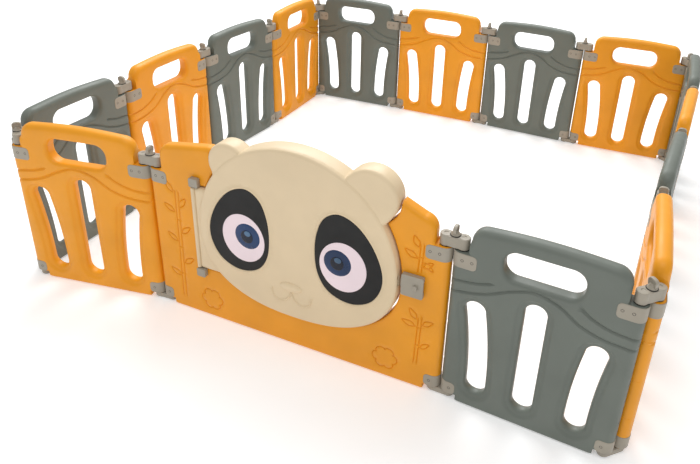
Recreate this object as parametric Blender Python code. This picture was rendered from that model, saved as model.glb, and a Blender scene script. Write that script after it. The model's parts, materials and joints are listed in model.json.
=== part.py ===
"""Playpen of fourteen slotted panels and a double-width gate with a panda-shaped door.

Every panel is joined to the next by a short link above and below, with a pivot at each end of
the link, so two panels can fold flat against each other. Metres, +Z up. The pen is a closed
loop: the walls run counter-clockwise seen from above, and each panel's own frame has +X along
the wall, +Y into the pen, and its origin on its first pivot axis at floor level.
"""

import math

import bmesh
import bpy
import numpy as np
from mathutils import Matrix

# ---- driving dimensions ----
PANEL_SPAN = 0.450          # pivot to pivot along a panel
GATE_SPAN = 0.950           # pivot to pivot along the gate
LINK_SPAN = 0.050           # pivot to pivot along a link
THICKNESS = 0.046           # panel thickness, and the diameter of its round ends
END_RADIUS = THICKNESS / 2
END_STEPS = 5               # flats round each half-round end
SHOULDER_Z = 0.510          # ledge that carries the top link
ARCH_Z = 0.594              # top of a panel's arch at its corners
CREST_RISE = 0.007          # extra height in the middle of the arch
ARCH_CORNER = 0.042         # radius of the arch's corners
LEDGE = 0.0235              # from a pivot axis to the foot of the arch
PANEL_BOTTOM_Z = 0.004
NOTCH_Z = 0.0225            # top of the corner notch that takes the bottom link
NOTCH = 0.0265              # from a pivot axis to the notch's inner end

LINK_RADIUS = 0.017
TOP_LINK_Z = (SHOULDER_Z + 0.0015, SHOULDER_Z + 0.0365)
BOTTOM_LINK_Z = (0.0, 0.0215)
PIN_RADIUS = 0.005
PIN_LENGTH = 0.010
PIN_SIDES = 6
PIN_HOLE_RADIUS = 0.0062
OPEN_PIVOT_RADIUS = 0.0143  # the loop's closing pivot has play for the fold
KNOB_RADIUS = 0.014
KNOB_HEIGHT = 0.032
WING_THICKNESS = 0.007

HANDLE_CENTRE = (0.220, 0.5125)
HANDLE_SIZE = (0.208, 0.083)
HANDLE_CORNER = 0.036
SLOT_HALF_WIDTH = 0.0295
SLOT_BOTTOM_Z = 0.050
# each viewing slot: centre at its foot, top, and how far the top leans along the panel
SLOTS = ((0.078, 0.362, -0.024), (0.215, 0.413, 0.0), (0.362, 0.349, 0.020))

# ---- panda door, in the gate's own frame ----
HEAD_X = 0.503
HEAD_Z = 0.365              # height where the head is widest
HEAD_HALF_WIDTH = 0.331
HEAD_UP = (0.330, 2.0)      # from HEAD_Z to the crown, and the curve's power: 2 is an ellipse
HEAD_DOWN = (0.240, 2.35)   # from HEAD_Z to the chin, and a squarer curve
EARS = ((-0.216, 0.598, 0.067), (0.238, 0.612, 0.082))   # from the head's middle, height, radius
FLAP_X = 0.348              # hinge side of the door, left of HEAD_X
FLAP_Z = (0.197, 0.490)
FLAP_MARGIN = 0.012         # the head's points this near the flap are left out
DOOR_GAP = 0.005
DOOR_FRONT_Y = -0.044
DOOR_EDGE_Y = -0.034
DOOR_BACK_Y = 0.019
DOOR_FRONT_INSET = 0.009
DOOR_POINTS = 72

GATE_TOP_LEFT_Z = 0.604     # top of the gate beside the link on its hinge side
GATE_TOP_RIGHT_Z = 0.588    # and on its latch side
GATE_TOP_MID_Z = 0.628      # and where it meets the head
GATE_TOP_MID_X = 0.300      # either side of HEAD_X

HINGE_X = 0.152
HINGE_Y = -0.031
KNUCKLE_RADIUS = 0.007
KNUCKLE_Z = (0.199, 0.488)
DOOR_PIN_RADIUS = 0.003
DOOR_PIN_HOLE = 0.0040
DOOR_PIN_LENGTH = 0.012
BRACKET_SIZE = (0.032, 0.0155, 0.030)
BRACKET_OFFSET = 0.007      # from the hinge axis to the block's middle
FLAP_CLEARANCE = 0.002
CONTACT_GAP = 0.0003

LATCH_X = (0.843, 0.909)
LATCH_Z = (0.332, 0.402)
LATCH_FRONT_Y = -0.037
BOLT_X = (0.8390, 0.8960)
BOLT_Y = (-0.0310, -0.0255)
BOLT_Z = (0.3525, 0.3825)
BOLT_TRAVEL = 0.012
BOLT_PLAY = 0.0008
TAB_X = (0.8800, 0.8920)
TAB_Z = (0.3600, 0.3750)
TAB_FRONT_Y = -0.0420

# ---- rest layout: the walls in order round the pen, with their headings in degrees ----
GATE = "gate_frame"
LAYOUT = (
    (GATE, 0.0), ("panel_front_right", -3.0),
    ("panel_right_1", 93.0), ("panel_right_2", 86.0), ("panel_right_3", 87.0), ("panel_right_4", 91.0),
    ("panel_back_4", 183.0), ("panel_back_3", 179.0), ("panel_back_2", 182.0), ("panel_back_1", 183.0),
    ("panel_left_4", 271.0), ("panel_left_3", 266.0), ("panel_left_2", 269.0), ("panel_left_1", 270.0),
    ("panel_front_left", 370.0),
)
CLOSING = ("panel_back_2", "panel_left_2")  # the two headings that close the loop
TURNED = tuple(f"panel_back_{i}" for i in (1, 2, 3, 4))  # panels fitted the other way round
OPEN_END = "panel_back_2"   # the loop's open pivot is at this turned panel's far end
YELLOW_PANELS = (
    "panel_front_left", "panel_right_1", "panel_right_3", "panel_back_4", "panel_back_2",
    "panel_left_4", "panel_left_2",
)

YELLOW = (0.85, 0.40, 0.012)
GREY = (0.16, 0.19, 0.17)
METAL_GREY = (0.34, 0.32, 0.27)
CREAM = (0.72, 0.60, 0.40)


# ---- small tools ----
def material(name, colour, roughness, metallic=0.0):
    mat = bpy.data.materials.new(name)
    mat.use_nodes = True
    shader = mat.node_tree.nodes["Principled BSDF"]
    shader.inputs["Base Color"].default_value = (*colour, 1.0)
    shader.inputs["Roughness"].default_value = roughness
    shader.inputs["Metallic"].default_value = metallic
    return mat


def loft(name, rings):
    """A closed mesh through rings of equally many points, with a flat cap on each end."""
    mesh = bpy.data.meshes.new(name)
    bm = bmesh.new()
    rows = [[bm.verts.new(p) for p in ring] for ring in rings]
    for low, high in zip(rows, rows[1:]):
        for i in range(len(low)):
            j = (i + 1) % len(low)
            bm.faces.new((low[i], low[j], high[j], high[i]))
    caps = [bm.faces.new(rows[0]), bm.faces.new(rows[-1])]
    bmesh.ops.triangulate(bm, faces=caps)
    bmesh.ops.recalc_face_normals(bm, faces=bm.faces)
    if bm.calc_volume(signed=True) < 0:
        bmesh.ops.reverse_faces(bm, faces=bm.faces)
    bm.to_mesh(mesh)
    bm.free()
    return mesh


def upright(name, outline, z_range):
    """Extrudes an (x, y) outline upwards."""
    return loft(name, [[(x, y, z) for x, y in outline] for z in z_range])


def through(name, outline, y_range):
    """Extrudes an (x, z) outline through the wall's thickness."""
    return loft(name, [[(x, y, z) for x, z in outline] for y in y_range])


def box(name, x, y, z):
    return upright(name, ((x[0], y[0]), (x[1], y[0]), (x[1], y[1]), (x[0], y[1])), z)


def arc(centre, radius, start, end, steps):
    """Points on an arc, both ends included, with angles in degrees."""
    angles = [math.radians(start + (end - start) * i / steps) for i in range(steps + 1)]
    return [(centre[0] + radius * math.cos(a), centre[1] + radius * math.sin(a)) for a in angles]


def disc(centre, radius, sides):
    return arc(centre, radius, 180 / sides, 180 / sides + 360 * (1 - 1 / sides), sides - 1)


def stadium(start, end, radius, steps):
    """A plan outline with round ends about (start, 0) and (end, 0)."""
    return arc((end, 0), radius, -90, 90, steps) + arc((start, 0), radius, 90, 270, steps)


def solid(base, tools):
    """The mesh left after each (operation, mesh) in tools has been applied to the base mesh."""
    body = bpy.data.objects.new("base", base)
    bpy.context.collection.objects.link(body)
    cutters = []
    for operation, mesh in tools:
        cutter = bpy.data.objects.new("tool", mesh)
        bpy.context.collection.objects.link(cutter)
        cutters.append(cutter)
        step = body.modifiers.new(operation, "BOOLEAN")
        step.operation = operation
        step.solver = "EXACT"
        step.object = cutter
    bpy.context.view_layer.update()
    shaped = body.evaluated_get(bpy.context.evaluated_depsgraph_get())
    result = bpy.data.meshes.new_from_object(shaped)
    for ob in (body, *cutters):
        bpy.data.objects.remove(ob)
    result.shade_smooth()
    result.set_sharp_from_angle(angle=math.radians(30))
    return result


def place(name, mesh, parent, matrix, mat):
    """One named object, standing on the parent empty, with its own material."""
    ob = bpy.data.objects.new(name, mesh.copy())
    bpy.context.collection.objects.link(ob)
    ob.parent = parent
    ob.matrix_local = matrix
    ob.data.materials.clear()
    ob.data.materials.append(mat)
    return ob


# ---- layout ----
def span(name):
    return GATE_SPAN if name == GATE else PANEL_SPAN


def step_along(heading, length):
    return np.array((math.cos(math.radians(heading)), math.sin(math.radians(heading)))) * length


def walk(headings):
    """First pivot of each wall, and of each link, going round from the gate's first pivot."""
    names = [name for name, _ in LAYOUT]
    here = np.array((-GATE_SPAN / 2, 0.0))
    walls, links = [], []
    for i, name in enumerate(names):
        following = headings[names[i + 1]] if i + 1 < len(names) else headings[names[0]] + 360
        walls.append(here)
        here = here + step_along(headings[name], span(name))
        link_heading = (headings[name] + following) / 2
        links.append((here, link_heading))
        here = here + step_along(link_heading, LINK_SPAN)
    return walls, links, here - walls[0]


def close_loop():
    """The layout's headings, with the two closing ones solved by Newton's method."""
    headings = dict(LAYOUT)
    nudge = 1e-4
    for _ in range(12):
        miss = walk(headings)[2]
        columns = []
        for name in CLOSING:
            moved = dict(headings)
            moved[name] += nudge
            columns.append((walk(moved)[2] - miss) / nudge)
        change = np.linalg.solve(np.array(columns).T, -miss)
        for name, turn in zip(CLOSING, change):
            headings[name] += float(turn)
    return headings


# ---- panel ----
def end_holes(length, far_radius=PIN_HOLE_RADIUS):
    """Cutters for the pin holes above and below, at both ends."""
    tools = []
    depth = PIN_LENGTH + 0.001
    for x, radius in ((0.0, PIN_HOLE_RADIUS), (length, far_radius)):
        for z in ((SHOULDER_Z - depth, SHOULDER_Z + 0.01), (0.0, NOTCH_Z + depth)):
            tools.append(("DIFFERENCE", upright("hole", disc((x, 0), radius, PIN_SIDES), z)))
    return tools


def wall_outline(length, top):
    """Front outline of a panel or of the gate, with its ledges and notches, under a given top edge."""
    over = END_RADIUS + 0.004
    return [
        (-over, NOTCH_Z), (NOTCH, NOTCH_Z), (NOTCH, PANEL_BOTTOM_Z),
        (length - NOTCH, PANEL_BOTTOM_Z), (length - NOTCH, NOTCH_Z), (length + over, NOTCH_Z),
        (length + over, SHOULDER_Z), (length - LEDGE, SHOULDER_Z),
        *top,
        (LEDGE, SHOULDER_Z), (-over, SHOULDER_Z),
    ]


def arch_top(length):
    """Round corner, gently crowned top, round corner, from the far end back to the near one."""
    far, near = length - LEDGE - ARCH_CORNER, LEDGE + ARCH_CORNER
    low = ARCH_Z - ARCH_CORNER
    crown = []
    for i in (1, 2, 3):
        share = i / 4
        crown.append((far + (near - far) * share, ARCH_Z + CREST_RISE * math.sin(math.pi * share)))
    return arc((far, low), ARCH_CORNER, 0, 90, 3) + crown + arc((near, low), ARCH_CORNER, 90, 180, 3)


def rounded_box(centre, size, radius, steps):
    outline = []
    for quarter in range(4):
        sx = 1 if quarter in (0, 3) else -1
        sz = 1 if quarter in (0, 1) else -1
        corner = (centre[0] + sx * (size[0] / 2 - radius), centre[1] + sz * (size[1] / 2 - radius))
        outline += arc(corner, radius, 90 * quarter, 90 * quarter + 90, steps)
    return outline


def viewing_slot(foot_x, top_z, lean):
    """A slot with round ends whose centre line bends towards one side as it rises."""
    low, high = SLOT_BOTTOM_Z + SLOT_HALF_WIDTH, top_z - SLOT_HALF_WIDTH
    heights = [low + (high - low) * i / 2 for i in range(3)]

    def centre(z):
        return foot_x + lean * ((z - low) / (high - low)) ** 2

    right = [(centre(z) + SLOT_HALF_WIDTH, z) for z in heights[:-1]]
    left = [(centre(z) - SLOT_HALF_WIDTH, z) for z in reversed(heights[:-1])]
    top = arc((centre(high), high), SLOT_HALF_WIDTH, 0, 180, 4)
    bottom = arc((foot_x, low), SLOT_HALF_WIDTH, 225, 315, 2)
    return right + top + left + bottom


def panel_mesh(far_radius=PIN_HOLE_RADIUS):
    reach = (-2 * THICKNESS, 2 * THICKNESS)
    face = through("face", wall_outline(PANEL_SPAN, arch_top(PANEL_SPAN)), (-THICKNESS, THICKNESS))
    plan = upright("plan", stadium(0, PANEL_SPAN, END_RADIUS, END_STEPS), (-0.1, 0.7))
    handle = rounded_box(HANDLE_CENTRE, HANDLE_SIZE, HANDLE_CORNER, 3)
    tools = [("INTERSECT", plan), ("DIFFERENCE", through("handle", handle, reach))]
    for slot in SLOTS:
        tools.append(("DIFFERENCE", through("slot", viewing_slot(*slot), reach)))
    return solid(face, tools + end_holes(PANEL_SPAN, far_radius))


# ---- gate and door ----
def ray_to_circle(angle, centre, radius):
    """Distance from the head's middle to the far side of a circle, or 0 where the ray misses it."""
    along = centre[0] * math.cos(angle) + centre[1] * math.sin(angle)
    square = radius**2 - (centre[0] ** 2 + centre[1] ** 2 - along**2)
    return along + math.sqrt(square) if square > 0 and along > 0 else 0.0


def plain_reach(angle, grow):
    """Distance from the head's middle to its edge, without ears or flap."""
    tall, power = HEAD_UP if math.sin(angle) > 0 else HEAD_DOWN
    across = abs(math.cos(angle) / (HEAD_HALF_WIDTH + grow)) ** power
    upwards = abs(math.sin(angle) / (tall + grow)) ** power
    return (across + upwards) ** (-1 / power)


def flap_corners(grow):
    """The hinge flap's corners, from where it leaves the head above to where it meets it below."""
    corners = []
    above = (FLAP_Z[1] + grow, HEAD_UP, False)
    below = (FLAP_Z[0] - grow, HEAD_DOWN, True)
    for z, (tall, power), away in (above, below):
        share = (abs(z - HEAD_Z) / (tall + grow)) ** power
        meeting = (HEAD_X - (HEAD_HALF_WIDTH + grow) * (1 - share) ** (1 / power), z)
        corner = (HEAD_X - FLAP_X - grow, z)
        corners += [corner, meeting] if away else [meeting, corner]
    return corners


def head_outline(grow=0.0):
    """The head with its ears, and the hinge flap on its left, drawn anticlockwise from the right."""
    points = []
    flap_done = False
    for i in range(DOOR_POINTS):
        angle = 2 * math.pi * i / DOOR_POINTS
        height = HEAD_Z + plain_reach(angle, 0.0) * math.sin(angle)
        if math.cos(angle) < 0 and FLAP_Z[0] - FLAP_MARGIN < height < FLAP_Z[1] + FLAP_MARGIN:
            if not flap_done:
                points += flap_corners(grow)
                flap_done = True
            continue
        reach = plain_reach(angle, grow)
        for x, z, radius in EARS:
            reach = max(reach, ray_to_circle(angle, (x, z - HEAD_Z), radius + grow))
        points.append((HEAD_X + reach * math.cos(angle), HEAD_Z + reach * math.sin(angle)))
    return points


def gate_top():
    """The gate's top edge: a round corner at each end and a slope up to the head."""
    far, near = GATE_SPAN - LEDGE - ARCH_CORNER, LEDGE + ARCH_CORNER
    far_corner = arc((far, GATE_TOP_RIGHT_Z - ARCH_CORNER), ARCH_CORNER, 0, 90, 4)
    near_corner = arc((near, GATE_TOP_LEFT_Z - ARCH_CORNER), ARCH_CORNER, 90, 180, 4)
    middle = [(HEAD_X + side * GATE_TOP_MID_X, GATE_TOP_MID_Z) for side in (1, -1)]
    return far_corner + middle + near_corner


def gate_mesh():
    face = through("face", wall_outline(GATE_SPAN, gate_top()), (-THICKNESS, THICKNESS))
    plan = upright("plan", stadium(0, GATE_SPAN, END_RADIUS, END_STEPS), (-0.1, 0.7))
    opening = through("opening", head_outline(DOOR_GAP), (-2 * THICKNESS, 2 * THICKNESS))
    return solid(face, [("INTERSECT", plan), ("DIFFERENCE", opening)] + end_holes(GATE_SPAN))


def door_mesh():
    """The head as a slab with a bevelled front, the hinge barrel, and the pocket for the bolt."""
    edge, front = head_outline(), head_outline(-DOOR_FRONT_INSET)
    rings = []
    for y, outline in ((DOOR_BACK_Y, edge), (DOOR_EDGE_Y, edge), (DOOR_FRONT_Y, front)):
        rings.append([(x, y, z) for x, z in outline])
    slab = loft("slab", rings)
    barrel = upright("barrel", disc((HINGE_X, HINGE_Y), KNUCKLE_RADIUS, 12), KNUCKLE_Z)
    tools = [("UNION", barrel)]
    depth = DOOR_PIN_LENGTH + 0.001
    hole = disc((HINGE_X, HINGE_Y), DOOR_PIN_HOLE, PIN_SIDES)
    for z in ((KNUCKLE_Z[0] - 0.01, KNUCKLE_Z[0] + depth), (KNUCKLE_Z[1] - depth, KNUCKLE_Z[1] + 0.01)):
        tools.append(("DIFFERENCE", upright("pin_hole", hole, z)))
    pocket = box(
        "pocket",
        (BOLT_X[0] - BOLT_TRAVEL - 0.002, BOLT_X[0] + 0.01),
        (BOLT_Y[0] - BOLT_PLAY, BOLT_Y[1] + BOLT_PLAY),
        (BOLT_Z[0] - BOLT_PLAY, BOLT_Z[1] + BOLT_PLAY),
    )
    return solid(slab, tools + [("DIFFERENCE", pocket)])


def door_bracket_mesh(flap_z, barrel_z, direction):
    """A block on the gate's face, clear of the flap's end, with a pin into the door's barrel."""
    near = flap_z + direction * FLAP_CLEARANCE
    far = near + direction * BRACKET_SIZE[2]
    face_y = -END_RADIUS - CONTACT_GAP
    left = HINGE_X - BRACKET_SIZE[0] / 2 + BRACKET_OFFSET
    across, out = (left, left + BRACKET_SIZE[0]), (face_y - BRACKET_SIZE[1], face_y)
    block = box("block", across, out, sorted((near, far)))
    pin_z = sorted((barrel_z - direction * DOOR_PIN_LENGTH, near + direction * 0.005))
    pin = upright("pin", disc((HINGE_X, HINGE_Y), DOOR_PIN_RADIUS, PIN_SIDES), pin_z)
    return solid(block, [("UNION", pin)])


def latch_housing_mesh():
    """A block with a channel for the bolt and a window for its thumb tab."""
    block = box("block", LATCH_X, (LATCH_FRONT_Y, -END_RADIUS - CONTACT_GAP), LATCH_Z)
    channel = box(
        "channel",
        (LATCH_X[0] - 0.01, BOLT_X[1] + 0.002),
        (BOLT_Y[0] - BOLT_PLAY, BOLT_Y[1] + BOLT_PLAY),
        (BOLT_Z[0] - BOLT_PLAY, BOLT_Z[1] + BOLT_PLAY),
    )
    window = box(
        "window",
        (TAB_X[0] - BOLT_TRAVEL - 0.001, TAB_X[1] + 0.001),
        (LATCH_FRONT_Y - 0.01, BOLT_Y[0]),
        (TAB_Z[0] - 0.001, TAB_Z[1] + 0.001),
    )
    return solid(block, [("DIFFERENCE", channel), ("DIFFERENCE", window)])


def latch_bolt_mesh():
    bolt = box("bolt", BOLT_X, BOLT_Y, BOLT_Z)
    tab = box("tab", TAB_X, (TAB_FRONT_Y, BOLT_Y[0] + 0.002), TAB_Z)
    return solid(bolt, [("UNION", tab)])


# ---- links ----
def link_pins(z, centres=(0.0, LINK_SPAN)):
    return [("UNION", upright("pin", disc((x, 0), PIN_RADIUS, PIN_SIDES), z)) for x in centres]


def top_link_mesh():
    """A bar with round ends on two pins, with the wing knob that locks it."""
    bar = upright("bar", stadium(0, LINK_SPAN, LINK_RADIUS, END_STEPS), TOP_LINK_Z)
    middle, roof = LINK_SPAN / 2, TOP_LINK_Z[1]
    base = upright("base", disc((middle, 0), KNOB_RADIUS, 8), (roof - 0.002, roof + 0.008))
    foot, shoulder = roof + 0.004, roof + KNOB_HEIGHT - 0.008
    wing_outline = [(KNOB_RADIUS - 0.002, foot), (KNOB_RADIUS - 0.001, shoulder)]
    wing_outline += arc((0, shoulder), 0.008, 30, 150, 2)
    wing_outline += [(0.001 - KNOB_RADIUS, shoulder), (0.002 - KNOB_RADIUS, foot)]
    half = WING_THICKNESS / 2
    wing = loft("wing", [[(x, y, z) for y, z in wing_outline] for x in (middle - half, middle + half)])
    pins = link_pins((SHOULDER_Z - PIN_LENGTH, TOP_LINK_Z[0] + 0.004))
    return solid(bar, [("UNION", base), ("UNION", wing)] + pins)


def bottom_link_mesh():
    bar = upright("bar", stadium(0, LINK_SPAN, LINK_RADIUS, END_STEPS), BOTTOM_LINK_Z)
    return solid(bar, link_pins((BOTTOM_LINK_Z[1] - 0.004, BOTTOM_LINK_Z[1] + PIN_LENGTH)))


# ---- assembly ----
def empty(name, point, heading):
    ob = bpy.data.objects.new(name, None)
    bpy.context.collection.objects.link(ob)
    ob.matrix_world = Matrix.Translation((*point, 0.0)) @ Matrix.Rotation(math.radians(heading), 4, "Z")
    return ob


def centre_on_floor():
    """Moves every empty so that the origin is under the middle of the whole pen's box."""
    bpy.context.view_layer.update()
    corners = []
    for ob in bpy.data.objects:
        if ob.type == "MESH":
            corners += [(ob.matrix_world @ v.co)[:2] for v in ob.data.vertices]
    middle = (np.min(corners, axis=0) + np.max(corners, axis=0)) / 2
    for ob in bpy.data.objects:
        if ob.type == "EMPTY":
            ob.location.x -= middle[0]
            ob.location.y -= middle[1]
    bpy.context.view_layer.update()


def build():
    for ob in list(bpy.data.objects):
        bpy.data.objects.remove(ob)
    headings = close_loop()
    walls, links, _ = walk(headings)

    yellow = material("yellow_plastic", YELLOW, 0.42)
    grey = material("grey_plastic", GREY, 0.45)
    metal = material("link_plastic", METAL_GREY, 0.40)
    cream = material("cream_plastic", CREAM, 0.40)

    plain, with_play = panel_mesh(), panel_mesh(OPEN_PIVOT_RADIUS)
    turn = Matrix.Translation((PANEL_SPAN, 0, 0)) @ Matrix.Rotation(math.pi, 4, "Z")
    for (name, _), start in zip(LAYOUT[1:], walls[1:]):
        stand = empty(f"stand_{name}", start, headings[name])
        mat = yellow if name in YELLOW_PANELS else grey
        mesh = with_play if name == OPEN_END else plain
        place(name, mesh, stand, turn if name in TURNED else Matrix.Identity(4), mat)

    gate_stand = empty("stand_gate", walls[0], headings[GATE])
    place(GATE, gate_mesh(), gate_stand, Matrix.Identity(4), yellow)
    hinge = Matrix.Translation((HINGE_X, HINGE_Y, 0))
    door = door_mesh()
    door.transform(hinge.inverted())
    place("panda_door", door, gate_stand, hinge, cream)
    upper = door_bracket_mesh(FLAP_Z[1], KNUCKLE_Z[1], 1)
    lower = door_bracket_mesh(FLAP_Z[0], KNUCKLE_Z[0], -1)
    place("door_bracket_upper", upper, gate_stand, Matrix.Identity(4), metal)
    place("door_bracket_lower", lower, gate_stand, Matrix.Identity(4), metal)
    place("latch_housing", latch_housing_mesh(), gate_stand, Matrix.Identity(4), metal)
    place("latch_bolt", latch_bolt_mesh(), gate_stand, Matrix.Identity(4), metal)

    top, bottom = top_link_mesh(), bottom_link_mesh()
    for i, (point, heading) in enumerate(links, start=1):
        pivot = empty(f"pivot_{i}", point, heading)
        place(f"top_link_{i}", top, pivot, Matrix.Identity(4), metal)
        place(f"bottom_link_{i}", bottom, pivot, Matrix.Identity(4), metal)
    centre_on_floor()


build()
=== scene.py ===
"""Looks for the playpen: moulded panels, the gate with its panda door, links, brackets and screws.

Each wall has its own frame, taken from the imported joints: +X along the wall from its first pivot,
+Y into the pen, +Z up. Every mesh below is drawn in such a frame, in metres, and then placed.
"""

import json
import math

import bmesh
import bpy
import numpy as np
from mathutils import Matrix, Vector
from mathutils.geometry import delaunay_2d_cdt


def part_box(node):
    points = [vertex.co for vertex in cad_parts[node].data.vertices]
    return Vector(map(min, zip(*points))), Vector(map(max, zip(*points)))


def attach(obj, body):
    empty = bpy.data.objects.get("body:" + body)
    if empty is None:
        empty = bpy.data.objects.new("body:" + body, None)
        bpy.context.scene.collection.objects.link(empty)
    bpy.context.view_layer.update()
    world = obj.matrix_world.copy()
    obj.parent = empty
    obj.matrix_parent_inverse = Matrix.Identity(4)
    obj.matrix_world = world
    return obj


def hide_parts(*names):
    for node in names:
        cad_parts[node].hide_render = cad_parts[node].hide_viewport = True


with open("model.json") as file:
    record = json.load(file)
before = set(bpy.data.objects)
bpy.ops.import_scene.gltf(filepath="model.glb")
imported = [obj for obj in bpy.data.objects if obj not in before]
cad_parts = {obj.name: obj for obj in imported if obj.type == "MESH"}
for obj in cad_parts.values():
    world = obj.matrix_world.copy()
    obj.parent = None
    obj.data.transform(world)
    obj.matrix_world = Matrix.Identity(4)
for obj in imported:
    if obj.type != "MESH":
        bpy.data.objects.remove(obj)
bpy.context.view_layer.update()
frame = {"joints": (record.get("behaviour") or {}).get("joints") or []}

WALLS = (
    "gate_frame", "panel_front_right",
    "panel_right_1", "panel_right_2", "panel_right_3", "panel_right_4",
    "panel_back_4", "panel_back_3", "panel_back_2", "panel_back_1",
    "panel_left_4", "panel_left_3", "panel_left_2", "panel_left_1",
    "panel_front_left",
)
LINKS = 15
RIGHT_CHAIN = 8             # links up to this one turn about their first pivot, the others
                            # about their second
YELLOW_PANELS = (
    "panel_front_left", "panel_right_1", "panel_right_3", "panel_back_4", "panel_back_2",
    "panel_left_4", "panel_left_2",
)

# ---- panel ----
SPAN = 0.450                # pivot to pivot
RADIUS = 0.023              # of a wall's round ends, and half its thickness
SHOULDER_Z = 0.510
ARCH_Z = 0.594
CREST_RISE = 0.007
ARCH_CORNER = 0.042
LEDGE = 0.0235
BOTTOM_Z = 0.004
NOTCH_Z = 0.0225
NOTCH = 0.0265
HANDLE = ((0.220, 0.5125), (0.208, 0.083), 0.036)     # centre, size, corner radius
SLOT_HALF_WIDTH = 0.0295
SLOT_BOTTOM_Z = 0.050
SLOTS = ((0.078, 0.362, -0.024), (0.215, 0.413, 0.0), (0.362, 0.349, 0.020))   # foot x, top z, lean
ARCH_ROUND = 0.019
EDGE_ROUND = 0.004
HANDLE_ROUND = 0.013
SLOT_ROUND = 0.013
SLOT_RIM = 0.0165           # half thickness of the wall in the hollow round a slot
SLOT_RECESS = (0.012, 0.023)    # the hollow's wall rises between these distances from a slot
SLOT_LIP = 0.25             # share of the hollow's thickness left at the slot's own edge
GROOVE_DEPTH = 0.0046
GROOVE_HALF_WIDTH = 0.0058

# where a plate gets extra points: shares of an edge's rounding, or distances from a line
ROUND_RINGS = np.array((0.06, 0.2, 0.42, 0.7, 1.0))
SLOT_RINGS = (0.0008, 0.0028, 0.006, 0.0095, 0.013, 0.0165, 0.0200, 0.0235)
GROOVE_RINGS = (0.0016, 0.0033, 0.0055)
END_TURNS = (12, 27, 42, 57, 72, 86)    # degrees round a wall's end

# ---- brackets, screws and links ----
PROUD = 0.0013              # of a bracket over the wall
UPPER_BRACKET = (0.047, 0.4655, 0.5095)     # reach along the face, bottom z, top z
LOWER_BRACKET = (0.024, 0.0238, 0.0640)
BRACKET_CORNER = 0.012
BRACKET_EDGE = (0.0009, 0.0016)     # drop and width of the rounded edge
SCREW_RADIUS = 0.0050
SCREWS = ((0.007, 0.489), (0.034, 0.489), (0.007, 0.044))   # x, z
SCREW_CROSS = 0.003         # half length of each slot in the head
LINK_SPAN = 0.050           # pivot to pivot
BAR_Z = (SHOULDER_Z + 0.0030, SHOULDER_Z + 0.0365)      # the upper bar's
LOWER_BAR_Z = (0.0034, 0.0213)
BAR_HALF_WIDTH = 0.0158
LOWER_BAR_RADIUS = 0.0168

# ---- gate and door ----
GATE_SPAN = 0.950
HEAD_X = 0.503
HEAD_Z = 0.365
HEAD_HALF_WIDTH = 0.331
HEAD_UP = (0.330, 2.0)      # height and the curve's power
HEAD_DOWN = (0.240, 2.35)
EARS = ((-0.216, 0.598, 0.067), (0.238, 0.612, 0.082))   # from HEAD_X, height, radius
FLAP_X = 0.348
FLAP_Z = (0.197, 0.490)
DOOR_GAP = 0.005
DOOR_BACK_Y = 0.019
DOOR_BASE = 0.034           # how far the ears and the flap stand out in front of the wall's middle
DOME = 0.009                # the face stands out this much further
CROWN = 0.003               # and its middle this much again
CROWN_HALF_HEIGHT = 0.34
DOME_ROUND = 0.011
DOOR_EDGE_ROUND = (0.010, 0.012)    # drop and width at the ears and the flap
DOOR_BACK_ROUND = 0.004
EAR_RAISE = (0.0045, 0.505, 0.03)   # height, from this z up, over this length
GATE_TOP = (0.604, 0.628, 0.588)   # left corner, beside the head, right corner
GATE_TOP_MID_X = 0.300
GATE_TOP_ROUND = 0.015
ENGRAVING_DEPTH = 0.0034
ENGRAVING_HALF_WIDTH = 0.0028

# the face, with centres in x given either side of HEAD_X for the eyes
WHITE = ((0.166, 0.370), (0.074, 0.082))
IRIS = ((0.150, 0.382), 0.043)
PUPIL = (0.021, 0.022)
GLINT = ((0.003, 0.012), (0.011, 0.009))    # centre from the iris's, half size
PATCH_RIM = (0.0038, 0.0045)        # height and half width of the raised rim round an eye patch
NOSE = ((0.497, 0.243), (0.0385, 0.0155))
NOSE_HEIGHT = 0.0095
MOUTH_HEIGHT = 0.0044               # the mouth is a raised line
MOUTH_HALF_WIDTH = 0.0042

# ---- hinge and latch, in the gate's frame ----
KNUCKLE = (0.152, -0.031)           # x, y of the door's turning axis
KNUCKLE_PROFILE = ((0.0060, 0.199), (0.0070, 0.2005), (0.0070, 0.4865), (0.0060, 0.488))
HINGE_BLOCK_X = 0.159
HINGE_BLOCK_Z = {"upper": 0.507, "lower": 0.180}
LATCH_X = 0.876
RAIL_Z = {"upper": 0.393, "lower": 0.3415}
BOLT_Z = 0.3675
POCKET = ((0.824, -0.0320, 0.3512), (0.860, -0.0245, 0.3838))   # where the bolt enters the door


# ---- outlines in the wall's own (x, z) ----
def arc(centre, radius, start, end, steps):
    """Points on an arc, both ends included, with angles in degrees."""
    angles = np.radians(np.linspace(start, end, steps + 1))
    return [(centre[0] + radius * math.cos(a), centre[1] + radius * math.sin(a)) for a in angles]


def spline(points, steps=8):
    """A smooth curve through the points (Catmull-Rom)."""
    p = [np.array(q, float) for q in (points[0], *points, points[-1])]
    curve = []
    for a, b, c, d in zip(p, p[1:], p[2:], p[3:]):
        for t in np.linspace(0, 1, steps, endpoint=False):
            bend, twist = 2 * a - 5 * b + 4 * c - d, 3 * b - a - 3 * c + d
            curve.append(0.5 * (2 * b + (c - a) * t + bend * t**2 + twist * t**3))
    return np.array(curve + [p[-1]])


def closed_spline(points, steps):
    """A smooth closed curve through the points, without its first point again at the end."""
    return spline([*points[-2:], *points, *points[:2]], steps)[2 * steps : -steps - 1]


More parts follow.
